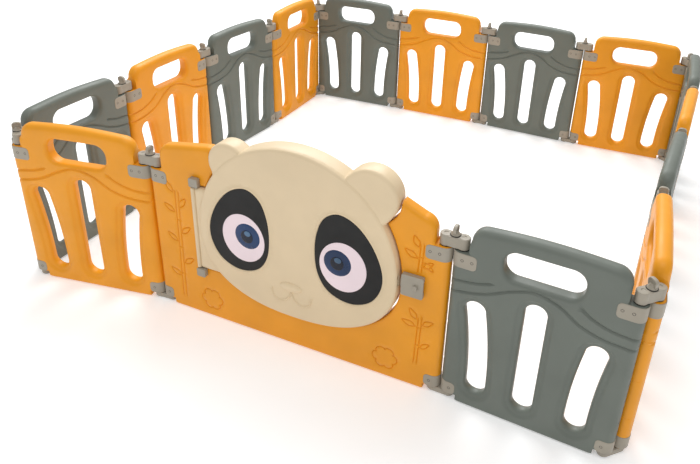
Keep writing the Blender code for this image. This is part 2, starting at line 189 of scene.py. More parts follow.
def dense(points, step, closed=True):
    """The same line with no segment longer than step."""
    points = [np.array(p, float) for p in points]
    ends = points[1:] + [points[0]] if closed else points[1:]
    out = []
    for a, b in zip(points, ends):
        count = max(1, math.ceil(np.linalg.norm(b - a) / step - 1e-6))
        out += [a + (b - a) * i / count for i in range(count)]
    return np.array(out if closed else out + [points[-1]])


def distance(points, line, closed=True):
    """Distance from each point to a polyline."""
    start = line if closed else line[:-1]
    end = np.roll(line, -1, axis=0) if closed else line[1:]
    best = np.full(len(points), 1e9)
    for a, b in zip(start, end):
        along = b - a
        t = np.clip(((points - a) @ along) / max(along @ along, 1e-18), 0, 1)
        best = np.minimum(best, np.linalg.norm(points - a - t[:, None] * along, axis=1))
    return best


def inside(points, loop):
    """Whether each point is in a closed loop, by counting crossings."""
    x, z = points[:, 0], points[:, 1]
    within = np.zeros(len(points), bool)
    for (ax, az), (bx, bz) in zip(loop, np.roll(loop, -1, axis=0)):
        crosses = (az > z) != (bz > z)
        with np.errstate(divide="ignore", invalid="ignore"):
            within ^= crosses & (x < (bx - ax) * (z - az) / (bz - az) + ax)
    return within


def beside(line, offset, closed=True):
    """Points beside a polyline at this offset, along its vertex normals."""
    ahead = np.roll(line, -1, axis=0) - line
    behind = line - np.roll(line, 1, axis=0)
    if not closed:
        ahead[-1], behind[0] = behind[-1], ahead[0]
    tangent = ahead / np.linalg.norm(ahead, axis=1, keepdims=True)
    tangent += behind / np.linalg.norm(behind, axis=1, keepdims=True)
    tangent /= np.maximum(np.linalg.norm(tangent, axis=1, keepdims=True), 1e-9)
    return line + offset * np.column_stack((tangent[:, 1], -tangent[:, 0]))


def thinned(points, minimum):
    """The points, in order, without those nearer than the minimum to an earlier one."""
    cells, kept = {}, []
    around = [(i, j) for i in (-1, 0, 1) for j in (-1, 0, 1)]
    for p in points:
        cell = (math.floor(p[0] / minimum), math.floor(p[1] / minimum))
        near = [q for i, j in around for q in cells.get((cell[0] + i, cell[1] + j), ())]
        if all((p[0] - q[0]) ** 2 + (p[1] - q[1]) ** 2 >= minimum**2 for q in near):
            cells.setdefault(cell, []).append(p)
            kept.append(p)
    return kept


def quarter(away, radius):
    """Height share of a rounded edge, 0 at the edge and 1 from its radius inwards."""
    t = 1 - np.clip(away / radius, 0, 1)
    return np.sqrt(1 - t * t)


def smooth(t):
    """A step from 0 to 1 that starts and ends level."""
    t = np.clip(t, 0, 1)
    return t * t * (3 - 2 * t)


def turns(steps):
    """Angles once round a circle, in radians."""
    return [2 * math.pi * i / steps for i in range(steps)]


def ellipse(centre, half, steps):
    (x, z), (across, up) = centre, half
    return np.array([(x + across * math.cos(a), z + up * math.sin(a)) for a in turns(steps)])


def groove(points, lines, half_width=GROOVE_HALF_WIDTH):
    """Depth share of round-bottomed grooves along the lines."""
    share = np.zeros(len(points))
    for line in lines:
        t = np.clip(distance(points, line, closed=False) / half_width, 0, 1)
        share = np.maximum(share, (1 - t * t) ** 2)
    return share


# ---- plates: a wall, a door or an inlay with a modelled face and back ----
def finished(bm, name, sharp=42):
    """The cleaned mesh, smooth up to this angle, with one empty material slot."""
    bmesh.ops.remove_doubles(bm, verts=bm.verts, dist=1e-6)
    bmesh.ops.dissolve_degenerate(bm, dist=1e-7, edges=bm.edges)
    bmesh.ops.recalc_face_normals(bm, faces=bm.faces)
    mesh = bpy.data.meshes.new(name)
    bm.to_mesh(mesh)
    bm.free()
    mesh.shade_smooth()
    mesh.set_sharp_from_angle(angle=math.radians(sharp))
    mesh.materials.append(None)
    return mesh


def plate(
    name, loops, shape, rings=(), lines=(), groove_rings=(), extra=(), grid=0.014, fine=0.0014
):
    """A closed mesh over the area inside the first loop and outside the others.

    shape(points) gives the front and back y of (x, z) points. rings holds (loop, offsets) for extra
    points beside a loop, and groove_rings the offsets on both sides of each line. The points of
    extra are added as they are. grid is the spacing elsewhere and fine the least one anywhere.
    """
    fixed = [p for loop in loops for p in loop]
    free = [p for line in [*extra, *lines] for p in line]
    for line in lines:
        for offset in groove_rings:
            free += [*beside(line, offset, closed=False), *beside(line, -offset, closed=False)]
    spread = {}
    for loop, offsets in rings:
        for offset in offsets:
            for side in (1, -1):
                points = beside(loop, side * offset)
                free += list(points[distance(points, loop) > offset * 0.97 - 1e-5])
        spread[id(loop)] = max(offsets)
    low, high = loops[0].min(axis=0), loops[0].max(axis=0)
    columns = [np.arange(low[i] + grid / 2, high[i], grid) for i in (0, 1)]
    shifts = [grid / 2 * (j % 2) for j in range(len(columns[1]))]
    field = np.array([(x + shift, z) for z, shift in zip(columns[1], shifts) for x in columns[0]])
    clear = np.ones(len(field), bool)
    for loop in [*loops, *(ring[0] for ring in rings)]:
        clear &= distance(field, loop) > spread.get(id(loop), 0) + grid * 0.45
    for line in lines:
        clear &= distance(field, line, closed=False) > max(groove_rings) + grid * 0.4
    free += list(field[clear])
    free = np.array(free).reshape(-1, 2)
    keep = inside(free, loops[0])
    for loop in loops[1:]:
        keep &= ~inside(free, loop)
    for loop in loops:
        keep &= distance(free, loop) > fine * 0.4
    everything = [*fixed, *thinned(free[keep], fine)]
    edges, start = [], 0
    for loop in loops:
        edges += [(start + i, start + (i + 1) % len(loop)) for i in range(len(loop))]
        start += len(loop)
    made = delaunay_2d_cdt([Vector(p) for p in everything], edges, [], 0, 1e-7)
    flat = np.array([tuple(v) for v in made[0]])
    faces = np.array([f for f in made[2] if len(f) == 3])
    middles = flat[faces].mean(axis=1)
    chosen = inside(middles, loops[0])
    for loop in loops[1:]:
        chosen &= ~inside(middles, loop)
    faces = faces[chosen]
    front, back = shape(flat)
    bm = bmesh.new()
    ahead = [bm.verts.new((x, y, z)) for (x, z), y in zip(flat, front)]
    behind = [bm.verts.new((x, y, z)) for (x, z), y in zip(flat, back)]
    rim = {}
    for a, b, c in faces:
        bm.faces.new((ahead[a], ahead[b], ahead[c]))
        bm.faces.new((behind[c], behind[b], behind[a]))
        for edge in ((a, b), (b, c), (c, a)):
            rim[edge] = rim.get(edge, 0) + 1
    for a, b in rim:
        if (b, a) not in rim:
            bm.faces.new((ahead[b], ahead[a], behind[a], behind[b]))
    bmesh.ops.delete(bm, geom=[v for v in bm.verts if not v.link_faces], context="VERTS")
    return finished(bm, name)


# ---- turned and extruded pieces ----
def ringed(bm, rings):
    """Faces through rings of equally many points, with a cap on each end."""
    rows = [[bm.verts.new(p) for p in ring] for ring in rings]
    count = len(rows[0])
    for low, high in zip(rows, rows[1:]):
        for i in range(count):
            j = (i + 1) % count
            bm.faces.new((low[i], low[j], high[j], high[i]))
    bm.faces.new(list(reversed(rows[0])))
    bm.faces.new(rows[-1])


def pillow(outline, low, high, bevel, dish=0.0):
    """Rings of a block with rounded edges, from one height to the other.

    The (a, b) outline runs anticlockwise. A dish sinks both faces by this much inside a flat rim.
    """
    rim, steps = 0.0014, 3
    outline = np.array(outline, float)
    rings = []
    if dish:
        rings.append((beside(outline, -bevel - rim * 1.6), low + dish))
        rings.append((beside(outline, -bevel - rim), low + dish * 0.8))
    for i in range(steps + 1):
        turn = math.pi / 2 * i / steps
        inset, rise = bevel * (1 - math.sin(turn)), bevel * (1 - math.cos(turn))
        rings.append((beside(outline, -inset), low + rise))
    rings += [(line, low + high - height) for line, height in reversed(rings)]
    return rings


def upright(bm, outline, low, high, bevel):
    """A rounded block standing on an (x, y) outline."""
    rings = pillow(outline, low, high, bevel)
    ringed(bm, [[(x, y, z) for x, y in line] for line, z in rings])


def lying(bm, outline, low, high, bevel, dish=0.0, matrix=Matrix.Identity(4)):
    """A rounded block whose (x, z) outline reaches through from one y to the other."""
    rings = pillow(outline, low, high, bevel, dish)
    ringed(bm, [[matrix @ Vector((x, -y, z)) for x, z in line] for line, y in rings])


def turned(bm, profile, centre, steps=32):
    """A body turned about a vertical axis from (radius, z) points."""
    rings = []
    for radius, z in profile:
        circle = arc(centre, radius, 0, 360 * (1 - 1 / steps), steps - 1)
        rings.append([(x, y, z) for x, y in circle])
    ringed(bm, rings)


def stadium(start, end, radius, steps=14):
    """A bar's outline, round about x = start and x = end."""
    return arc((end, 0), radius, -90, 90, steps) + arc((start, 0), radius, 90, 270, steps)


def rounded_box(centre, size, radius, steps=6):
    """A rectangle with round corners, anticlockwise."""
    outline = []
    for turn in range(4):
        sx = 1 if turn in (0, 3) else -1
        sz = 1 if turn in (0, 1) else -1
        corner = (centre[0] + sx * (size[0] / 2 - radius), centre[1] + sz * (size[1] / 2 - radius))
        outline += arc(corner, radius, 90 * turn, 90 * turn + 90, steps)
    return outline


# ---- materials ----
def plastic(name, colour, roughness, grain=0.10, mottle=0.06, metallic=0.0, specular=0.4):
    """Moulded plastic: faint mottling, uneven gloss, and a bump of fine grain over slow waves."""
    mat = bpy.data.materials.new(name)
    mat.use_nodes = True
    nodes, links = mat.node_tree.nodes, mat.node_tree.links
    shader = nodes["Principled BSDF"]
    shader.inputs["Metallic"].default_value = metallic
    shader.inputs["Specular IOR Level"].default_value = specular
    place = nodes.new("ShaderNodeTexCoord")

    def noise(scale, detail):
        node = nodes.new("ShaderNodeTexNoise")
        node.inputs["Scale"].default_value = scale
        node.inputs["Detail"].default_value = detail
        links.new(place.outputs["Object"], node.inputs["Vector"])
        return node.outputs["Fac"]

    def ramp(source, low, high):
        node = nodes.new("ShaderNodeValToRGB")
        for element, position, value in zip(node.color_ramp.elements, (0.3, 0.7), (low, high)):
            element.position = position
            element.color = (*value, 1)
        links.new(source, node.inputs["Fac"])
        return node.outputs["Color"]

    dark = [c * (1 - mottle) for c in colour]
    light = [min(1.0, c * (1 + mottle)) for c in colour]
    links.new(ramp(noise(7, 4), dark, light), shader.inputs["Base Color"])
    gloss = ramp(noise(24, 5), [roughness - 0.06] * 3, [roughness + 0.08] * 3)
    links.new(gloss, shader.inputs["Roughness"])
    waves = nodes.new("ShaderNodeBump")
    waves.inputs["Strength"].default_value = 0.10
    waves.inputs["Distance"].default_value = 0.004
    links.new(noise(22, 1), waves.inputs["Height"])
    fine = nodes.new("ShaderNodeBump")
    fine.inputs["Strength"].default_value = grain
    fine.inputs["Distance"].default_value = 0.0006
    links.new(noise(900, 3), fine.inputs["Height"])
    links.new(waves.outputs["Normal"], fine.inputs["Normal"])
    links.new(fine.outputs["Normal"], shader.inputs["Normal"])
    return mat


YELLOW = plastic("yellow_moulding", (0.80, 0.315, 0.006), 0.42)
GREY = plastic("grey_moulding", (0.140, 0.158, 0.135), 0.44)
CREAM = plastic("cream_moulding", (0.72, 0.575, 0.375), 0.40, mottle=0.04)
LINK_GREY = plastic("link_moulding", (0.34, 0.305, 0.245), 0.40, grain=0.14, mottle=0.08)
PATCH = plastic("patch_print", (0.013, 0.013, 0.013), 0.50, mottle=0.2, specular=0.25)
EYE_WHITE = plastic("eye_white_print", (0.84, 0.70, 0.74), 0.32, grain=0.05, mottle=0.04)
EYE_INK = {"grain": 0.03, "specular": 0.3}
EYE_BLUE = plastic("eye_blue_print", (0.012, 0.036, 0.105), 0.22, mottle=0.5, **EYE_INK)
EYE_DARK = plastic("eye_dark_print", (0.004, 0.008, 0.022), 0.20, mottle=0.4, **EYE_INK)
EYE_GLINT = plastic("eye_glint_print", (0.07, 0.14, 0.24), 0.25, mottle=0.4, **EYE_INK)
SCREW = plastic("screw_zinc", (0.12, 0.11, 0.095), 0.42, grain=0.2, mottle=0.25, metallic=0.6)
RUBBER = plastic("black_rubber", (0.022, 0.021, 0.020), 0.75, grain=0.35, mottle=0.3)


# ---- places ----
def link_ends():
    """The two pivots of each link, in the order of the walls."""
    ends = {}
    for i in range(1, LINKS + 1):
        low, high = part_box(f"top_link_{i}")
        joint = next(j for j in frame["joints"] if j["child"] == f"link_{i}")
        pivot = Vector(joint["pos_m"]).to_2d()
        other = (low + high).to_2d() - pivot
        ends[i] = (pivot, other) if i <= RIGHT_CHAIN else (other, pivot)
    return ends


ENDS = link_ends()


def standing(start, end):
    """The frame at start whose +X points to end."""
    run = end - start
    return Matrix.Translation((*start, 0)) @ Matrix.Rotation(math.atan2(run.y, run.x), 4, "Z")


def wall_frame(index):
    """The frame of a wall, by its place in WALLS."""
    first = ENDS[index][1] if index else ENDS[LINKS][1]
    return standing(first, ENDS[index + 1][0])


def put(name, mesh, matrix, body, material, slot, *nodes):
    """One piece: placed, given its finish, riding on its body and standing for these CAD nodes."""
    ob = bpy.data.objects.new(name, mesh)
    bpy.context.scene.collection.objects.link(ob)
    ob.matrix_world = matrix
    ob.material_slots[0].link = "OBJECT"
    ob.material_slots[0].material = material
    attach(ob, body)
    if nodes:
        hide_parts(*nodes)
    return ob


# ---- walls ----
def wall_outline(length, top):
    """A wall's outline under a given top edge, anticlockwise from its lower left."""
    return [
        (-RADIUS, NOTCH_Z), (NOTCH, NOTCH_Z), (NOTCH, BOTTOM_Z),
        (length - NOTCH, BOTTOM_Z), (length - NOTCH, NOTCH_Z), (length + RADIUS, NOTCH_Z),
        (length + RADIUS, SHOULDER_Z), (length - LEDGE, SHOULDER_Z), *top,
        (LEDGE, SHOULDER_Z), (-RADIUS, SHOULDER_Z),
    ]


def end_columns(length):
    """Points down both round ends, close together where the end curves most."""
    points = []
    for turn in END_TURNS:
        reach = RADIUS * math.sin(math.radians(turn))
        for x in (-reach, length + reach):
            column = [(x, NOTCH_Z + 0.003), (x, SHOULDER_Z - 0.003)]
            points.append(dense(column, 0.012, closed=False))
    return points


def plan(points, length):
    """Half thickness in plan, with full-round ends."""
    over = np.maximum(-points[:, 0], points[:, 0] - length)
    return np.sqrt(np.maximum(RADIUS**2 - np.clip(over, 0, RADIUS) ** 2, 0))


def edge_share(away, radius):
    """Share of the thickness left at this distance from an edge rounded by the radius."""
    return 1 - radius / RADIUS * (1 - quarter(away, radius))


def top_distance(points, line):
    """Distance from a wall's top edge, quickly growing below the ledges where the edge ends."""
    below = np.maximum(SHOULDER_Z + 0.006 - points[:, 1], 0)
    return distance(points, line, closed=False) + 4 * below


def wall_edges(length):
    """A wall's plain lower edges and ledges, as lines."""
    bottom = [(-RADIUS, NOTCH_Z), (NOTCH, NOTCH_Z), (NOTCH, BOTTOM_Z)]
    bottom += [(length - x, z) for x, z in reversed(bottom)]
    ledges = [[(-RADIUS, SHOULDER_Z), (LEDGE, SHOULDER_Z)]]
    ledges += [[(length - LEDGE, SHOULDER_Z), (length + RADIUS, SHOULDER_Z)]]
    return [np.array(line) for line in (bottom, *ledges)]


def panel_top():
    """A panel's arch, from its right foot over the crest to its left one."""
    far, near, low = SPAN - LEDGE - ARCH_CORNER, LEDGE + ARCH_CORNER, ARCH_Z - ARCH_CORNER
    crown = []
    for share in np.linspace(0.1, 0.9, 9):
        crown.append((far + (near - far) * share, ARCH_Z + CREST_RISE * math.sin(math.pi * share)))
    right_corner = arc((far, low), ARCH_CORNER, 0, 90, 9)
    return right_corner + crown + arc((near, low), ARCH_CORNER, 90, 180, 9)


def slot_outline(foot_x, top_z, lean):
    """A viewing slot that bends sideways by its lean towards the top."""
    low, high = SLOT_BOTTOM_Z + SLOT_HALF_WIDTH, top_z - SLOT_HALF_WIDTH
    heights = np.linspace(low, high, 12)
    centres = [foot_x + lean * ((z - low) / (high - low)) ** 2 for z in heights]
    right = [(x + SLOT_HALF_WIDTH, z) for x, z in zip(centres, heights)]
    left = [(x - SLOT_HALF_WIDTH, z) for x, z in zip(centres, heights)]
    top = arc((centres[-1], high), SLOT_HALF_WIDTH, 0, 180, 14)
    bottom = arc((foot_x, low), SLOT_HALF_WIDTH, 180, 360, 14)
    return np.array(right[:-1] + top + left[-2::-1] + bottom[1:-1])


def panel_waves():
    """The long wave under the handle and the short one at each side above it."""
    reach = RADIUS * 0.9
    long_wave = [
        (-reach, 0.384), (0, 0.388), (0.045, 0.396), (0.09, 0.411), (0.145, 0.439), (0.205, 0.457),
        (0.270, 0.441), (0.325, 0.405), (0.385, 0.385), (SPAN, 0.380), (SPAN + reach, 0.380),
    ]
    left = [(-reach, 0.420), (0, 0.423), (0.05, 0.430), (0.09, 0.442)]
    right = [(0.328, 0.452), (0.355, 0.434), (0.40, 0.418), (SPAN, 0.413), (SPAN + reach, 0.413)]
    return [dense(spline(line), 0.009, closed=False) for line in (long_wave, left, right)]


def panel_mesh():
    outline = dense(wall_outline(SPAN, panel_top()), 0.010)
    arch, edges = np.array(panel_top()), wall_edges(SPAN)
    handle = dense(rounded_box(*HANDLE, steps=9), 0.009)
    slots = [dense(slot_outline(*slot), 0.009) for slot in SLOTS]
    waves = panel_waves()

    def shape(points):
        half = plan(points, SPAN)
        half *= edge_share(top_distance(points, arch), ARCH_ROUND)
        for edge in edges:
            half *= edge_share(distance(points, edge, closed=False), EDGE_ROUND)
        half *= edge_share(distance(points, handle), HANDLE_ROUND)
        for slot in slots:
            away = distance(points, slot)
            near, far = SLOT_RECESS
            hollow = SLOT_RIM + (RADIUS - SLOT_RIM) * smooth((away - near) / (far - near))
            half *= hollow / RADIUS * (SLOT_LIP + (1 - SLOT_LIP) * quarter(away, SLOT_ROUND))
        half -= GROOVE_DEPTH * groove(points, waves) * smooth(half / RADIUS)
        return -half, half

    rings = [(outline, ROUND_RINGS * ARCH_ROUND), (handle, ROUND_RINGS * HANDLE_ROUND)]
    rings += [(slot, SLOT_RINGS) for slot in slots]
    loops = [outline, *slots, handle]
    return plate("panel", loops, shape, rings, waves, GROOVE_RINGS, end_columns(SPAN))


# ---- the gate ----
def gate_top():
    """The gate's top edge: a round corner at each end and a slope up to the head."""
    left, middle, right = GATE_TOP
    far, near = GATE_SPAN - LEDGE - ARCH_CORNER, LEDGE + ARCH_CORNER
    slopes = [(HEAD_X + GATE_TOP_MID_X, middle), (HEAD_X - GATE_TOP_MID_X, middle)]
    right_corner = arc((far, right - ARCH_CORNER), ARCH_CORNER, 0, 80, 9)
    left_corner = arc((near, left - ARCH_CORNER), ARCH_CORNER, 98, 180, 9)
    return right_corner + slopes + left_corner


def plain_reach(angle, grow):
    """Distance from the head's middle to its edge, without ears or flap."""
    tall, power = HEAD_UP if math.sin(angle) > 0 else HEAD_DOWN
    across = abs(math.cos(angle) / (HEAD_HALF_WIDTH + grow)) ** power
    upwards = abs(math.sin(angle) / (tall + grow)) ** power
    return (across + upwards) ** (-1 / power)


def head_point(angle, reach):
    return HEAD_X + reach * math.cos(angle), HEAD_Z + reach * math.sin(angle)


def plain_head(grow):
    """The head's outline without ears or flap, grown outwards."""
    return np.array([head_point(a, plain_reach(a, grow)) for a in turns(220)])


def ear_reach(angle, x, z, radius):
    """Distance from the head's middle to the far side of an ear, or 0 where the ray misses it."""
    z -= HEAD_Z
    along = x * math.cos(angle) + z * math.sin(angle)
    square = radius**2 - (x**2 + z**2 - along**2)
    return along + math.sqrt(square) if square > 0 and along > 0 else 0.0


def flap_corners(grow):
    """The hinge flap, from where it leaves the head above to where it meets it below."""
    left = HEAD_X - FLAP_X - grow
    round_off = 0.010
    corners = []
    upper, lower = (FLAP_Z[1] + grow, HEAD_UP, 90), (FLAP_Z[0] - grow, HEAD_DOWN, 180)
    for z, (tall, power), turn in (upper, lower):
        share = (abs(z - HEAD_Z) / (tall + grow)) ** power
        meeting = (HEAD_X - (HEAD_HALF_WIDTH + grow) * (1 - share) ** (1 / power), z)
        inwards = -round_off if turn == 90 else round_off
        corner = arc((left + round_off, z + inwards), round_off, turn, turn + 90, 4)
        corners += [meeting, *corner] if turn == 90 else [*corner, meeting]
    return corners


def door_outline(grow=0.0):
    """The head with its ears and the hinge flap on its left, anticlockwise from the right."""
    points, flap_done = [], False
    for angle in turns(220):
        height = HEAD_Z + plain_reach(angle, 0) * math.sin(angle)
        if math.cos(angle) < 0 and FLAP_Z[0] - 0.012 < height < FLAP_Z[1] + 0.012:
            points += [] if flap_done else flap_corners(grow)
            flap_done = True
            continue
        ears = [ear_reach(angle, x, z, radius + grow) for x, z, radius in EARS]
        points.append(head_point(angle, max(plain_reach(angle, grow), *ears)))
    return points


def run_of(loop, chosen):
    """The chosen points of a closed loop as one run, in order."""
    first = next(i for i in range(len(loop)) if chosen[i] and not chosen[i - 1])
    return np.roll(loop, -first, axis=0)[: int(chosen.sum())]


def leaf(base, angle, length, width):
    """A pointed leaf as a line that leaves its base and comes back to it."""
    c, s = math.cos(math.radians(angle)), math.sin(math.radians(angle))
    sides = [(0.35, 0.5), (0.7, 0.4), (1, 0), (0.7, -0.3), (0.35, -0.45)]
    points = [(0, 0)] + [(length * a, width * b) for a, b in sides] + [(0, 0)]
    return spline([(base[0] + x * c - z * s, base[1] + x * s + z * c) for x, z in points], 4)


def flower(centre):
    """Six petals as one closed line."""
    loop = []
    for a in turns(72):
        reach = 0.030 + 0.010 * math.sqrt(abs(math.cos(3 * a)))
        loop.append((centre[0] + reach * math.cos(a), centre[1] + reach * math.sin(a)))
    return np.array(loop + loop[:1])


def stem(foot, top, width, joints):
    """A bamboo stem: two lines, and a short line across at each joint."""
    half = width / 2
    lines = [[(foot[0] + side * half, foot[1]), (top[0] + side * half, top[1])] for side in (-1, 1)]
    for share in joints:
        x, z = foot[0] + (top[0] - foot[0]) * share, foot[1] + (top[1] - foot[1]) * share
        lines.append([(x - half - 0.002, z), (x + half + 0.002, z)])
    return lines


def engravings():
    """The gate's flowers and its three bamboo stems with their leaves."""
    lines = [flower((0.183, 0.072)), flower((0.800, 0.072))]
    lines += stem((0.072, 0.055), (0.080, 0.450), 0.012, (0.22, 0.48, 0.74))
    low_leaves = ((0.130, 150), (0.185, 35), (0.265, 145), (0.300, 40))
    high_leaves = ((0.375, 150), (0.395, 55), (0.445, 125))
    for z, angle in low_leaves + high_leaves:
        side = 1 if angle < 90 else -1
        lines.append(leaf((0.076 + side * 0.010, z), angle, 0.044, 0.018))
    lines += stem((0.890, 0.412), (0.894, 0.500), 0.010, (0.55,))
    lines += [leaf((0.881, 0.455), 150, 0.042, 0.018), leaf((0.884, 0.492), 115, 0.036, 0.018)]
    lines += [leaf((0.900, 0.428), 40, 0.036, 0.016), leaf((0.900, 0.446), -38, 0.036, 0.016)]
    lines += stem((0.896, 0.095), (0.902, 0.255), 0.010, (0.4, 0.8))
    lines += [leaf((0.889, 0.225), 165, 0.042, 0.018), leaf((0.892, 0.250), 125, 0.040, 0.018)]
    lines += [leaf((0.910, 0.235), 30, 0.036, 0.017), leaf((0.908, 0.150), 40, 0.034, 0.015)]
    return [dense(line, 0.004, closed=False) for line in lines]


def gate_mesh():
    whole = dense(wall_outline(GATE_SPAN, gate_top()), 0.0045)
    opening = dense(door_outline(DOOR_GAP), 0.0045)
    rim = run_of(opening, inside(opening, whole))
    edge = run_of(whole, ~inside(whole, opening))
    outline = np.vstack([edge, rim[::-1]])
    high, right = edge[:, 1] > SHOULDER_Z + 1e-4, edge[:, 0] > HEAD_X
    tops = [edge[high & right], edge[high & ~right]]
    lines, edges = engravings(), wall_edges(GATE_SPAN)

    def shape(points):
        half = plan(points, GATE_SPAN)
        for top in tops:
            half *= edge_share(top_distance(points, top), GATE_TOP_ROUND)
        for line in [*edges, rim]:
            half *= edge_share(distance(points, line, closed=False), EDGE_ROUND)
        sunk = ENGRAVING_DEPTH * groove(points, lines, ENGRAVING_HALF_WIDTH)
        return -half + sunk * smooth(half / RADIUS), half

    rings = [(outline, (0.0010, 0.0030, 0.0065, 0.0105, 0.015))]
    line_rings, columns = (0.0010, 0.0020, 0.0030), end_columns(GATE_SPAN)
    return plate("gate", [outline], shape, rings, lines, line_rings, columns, fine=0.0007)


def mirrored(points, side):
    """Points given from the head's middle line, at its right (1) or left (-1)."""
    return np.array([(HEAD_X + side * x, z) for x, z in points])


def patch_outline(side):
    points = [
        (0.150, 0.540), (0.205, 0.521), (0.253, 0.468), (0.284, 0.397), (0.285, 0.335),
        (0.256, 0.280), (0.206, 0.253), (0.155, 0.255), (0.112, 0.279), (0.085, 0.326),
        (0.076, 0.390), (0.082, 0.458), (0.105, 0.514),
    ]
    return dense(mirrored(closed_spline(points, 6), side), 0.006)


def mouth_lines():
    """The line under the nose and the curve it splits into at each side."""
    lines = [[(0.0, NOSE[0][1] - 0.014), (0.0, 0.224)]]
    half = [
        (0.068, 0.216), (0.062, 0.196), (0.044, 0.184), (0.024, 0.188), (0.008, 0.204),
        (0.0, 0.223),
    ]
    for side in (-1, 1):
        lines.append(spline([(side * x, z) for x, z in half], 5))
    return [dense([(NOSE[0][0] + x, z) for x, z in line], 0.004, closed=False) for line in lines]


DOOR_EDGE = dense(door_outline(), 0.006)
DOME_EDGE = dense(plain_head(-0.0015), 0.006)
PATCHES = {side: patch_outline(side) for side in (-1, 1)}
MOUTH = mouth_lines()


def face(points):
    """How far the door's front stands out from the wall's middle."""
    x, z = points[:, 0], points[:, 1]
    (raise_by, raise_z, raise_over), (drop, edge_width) = EAR_RAISE, DOOR_EDGE_ROUND
    level = DOOR_BASE + raise_by * smooth((z - raise_z) / raise_over)
    low = level - drop * (1 - quarter(distance(points, DOOR_EDGE), edge_width))
    within = inside(points, DOME_EDGE)
    from_middle = ((x - HEAD_X) / HEAD_HALF_WIDTH) ** 2, ((z - HEAD_Z) / CROWN_HALF_HEIGHT) ** 2
    crown = CROWN * np.maximum(1 - from_middle[0] - from_middle[1], 0)
    inwards = np.where(within, distance(points, DOME_EDGE), 0)
    dome = DOOR_BASE + DOME * quarter(inwards, DOME_ROUND) + crown
    out = np.where(within, np.maximum(low, dome), low)
    height, half = PATCH_RIM
    for patch in PATCHES.values():
        away = np.where(inside(points, patch), 0, distance(points, patch))
        out += height * np.maximum(1 - ((away - half) / half) ** 2, 0)
    across = ((x - NOSE[0][0]) / NOSE[1][0]) ** 2 + ((z - NOSE[0][1]) / NOSE[1][1]) ** 2
    out += NOSE_HEIGHT * np.sqrt(np.maximum(1 - across, 0))
    return out + MOUTH_HEIGHT * groove(points, MOUTH, MOUTH_HALF_WIDTH)


def door_mesh():
    def shape(points):
        edge = quarter(distance(points, DOOR_EDGE), DOOR_BACK_ROUND)
        return -face(points), DOOR_BACK_Y - DOOR_BACK_ROUND * (1 - edge)

    rings = [(DOOR_EDGE, (0.0010, 0.0035, 0.0075, 0.012))]
    rings += [(DOME_EDGE, (0.0009, 0.0025, 0.0055, 0.009))]
    rings += [(patch, (0.0012, 0.0028, 0.0045, 0.0064, 0.0082)) for patch in PATCHES.values()]
    (half_width, half_height), shares = NOSE[1], (0.3, 0.6, 0.82, 0.94, 1.0, 1.08)
    nose = [ellipse(NOSE[0], (half_width * k, half_height * k), 30) for k in shares]
    own, mouth_rings = [DOME_EDGE, *PATCHES.values(), *nose], (0.0012, 0.0024, 0.0038)
    return plate("door", [DOOR_EDGE], shape, rings, MOUTH, mouth_rings, own, fine=0.0008)


def inlay(name, outline, lift, bulge, reach, material, slot):
    """A thin cap on the door's face: lifted off it, and bulging from its edge inwards."""

    def shape(points):
        out = face(points)
        top = out + lift + bulge * quarter(distance(points, outline), reach)
        return -top, -(out - 0.003)

    offsets = [share * reach for share in (0.05, 0.2, 0.45, 0.8)]
    mesh = plate(name, [outline], shape, [(outline, offsets)], grid=0.008, fine=0.0006)
    put(name, mesh, GATE, "door", material, slot)


# ---- fittings ----
def joined(name, parts):
    """One mesh of several, each with its own place."""
    bm = bmesh.new()
    for mesh, matrix in parts:
        before = len(bm.verts)
        bm.from_mesh(mesh)
        bm.verts.ensure_lookup_table()
        bmesh.ops.transform(bm, matrix=matrix, verts=bm.verts[before:])
    return finished(bm, name)


def bracket(name, inner, low, high):
    """A moulded plate bent round a wall's end, from one face to the other."""
    bend = RADIUS * math.pi / 2
    size = (2 * (bend + inner), high - low)
    outline = dense(rounded_box((0, (low + high) / 2), size, BRACKET_CORNER), 0.006)

    def shape(points):
        drop, width = BRACKET_EDGE
        out = PROUD - drop * (1 - quarter(distance(points, outline), width))
        return -out, np.full(len(points), 0.0006)

    rings = [(outline, (0.0004, 0.0016, 0.003))]
    mesh = plate(name, [outline], shape, rings, grid=0.006, fine=0.0004)
    for vertex in mesh.vertices:
        along, out = vertex.co.x, RADIUS - vertex.co.y
        turn = max(-math.pi / 2, min(math.pi / 2, along / RADIUS))
        vertex.co.x = -out * math.cos(turn) + max(abs(along) - bend, 0)
        vertex.co.y = -out * math.sin(turn)
    return mesh


def screw_mesh():
    """A round head with a cross sunk into it, lying on y = 0."""
    outline = ellipse((0, 0), (SCREW_RADIUS, SCREW_RADIUS), 20)
    across = np.array([(-SCREW_CROSS, 0), (0, 0), (SCREW_CROSS, 0)])
    cross = [across, across[:, ::-1]]

    def shape(points):
        top = 0.0004 - 0.0012 * (1 - quarter(distance(points, outline), 0.0014))
        return -(top - 0.0012 * groove(points, cross, 0.0010)), np.full(len(points), 0.0015)

    rings = [(outline, (0.0006, 0.0014))]
    return plate("screw", [outline], shape, rings, cross, (0.0004, 0.001), grid=0.0014, fine=0.0003)


def both_ends(parts, length):
    """The parts of a wall's near end, and the same turned round for its far end."""
    far = Matrix.Translation((length, 0, 0)) @ Matrix.Rotation(math.pi, 4, "Z")
    return parts + [(mesh, far @ matrix) for mesh, matrix in parts]


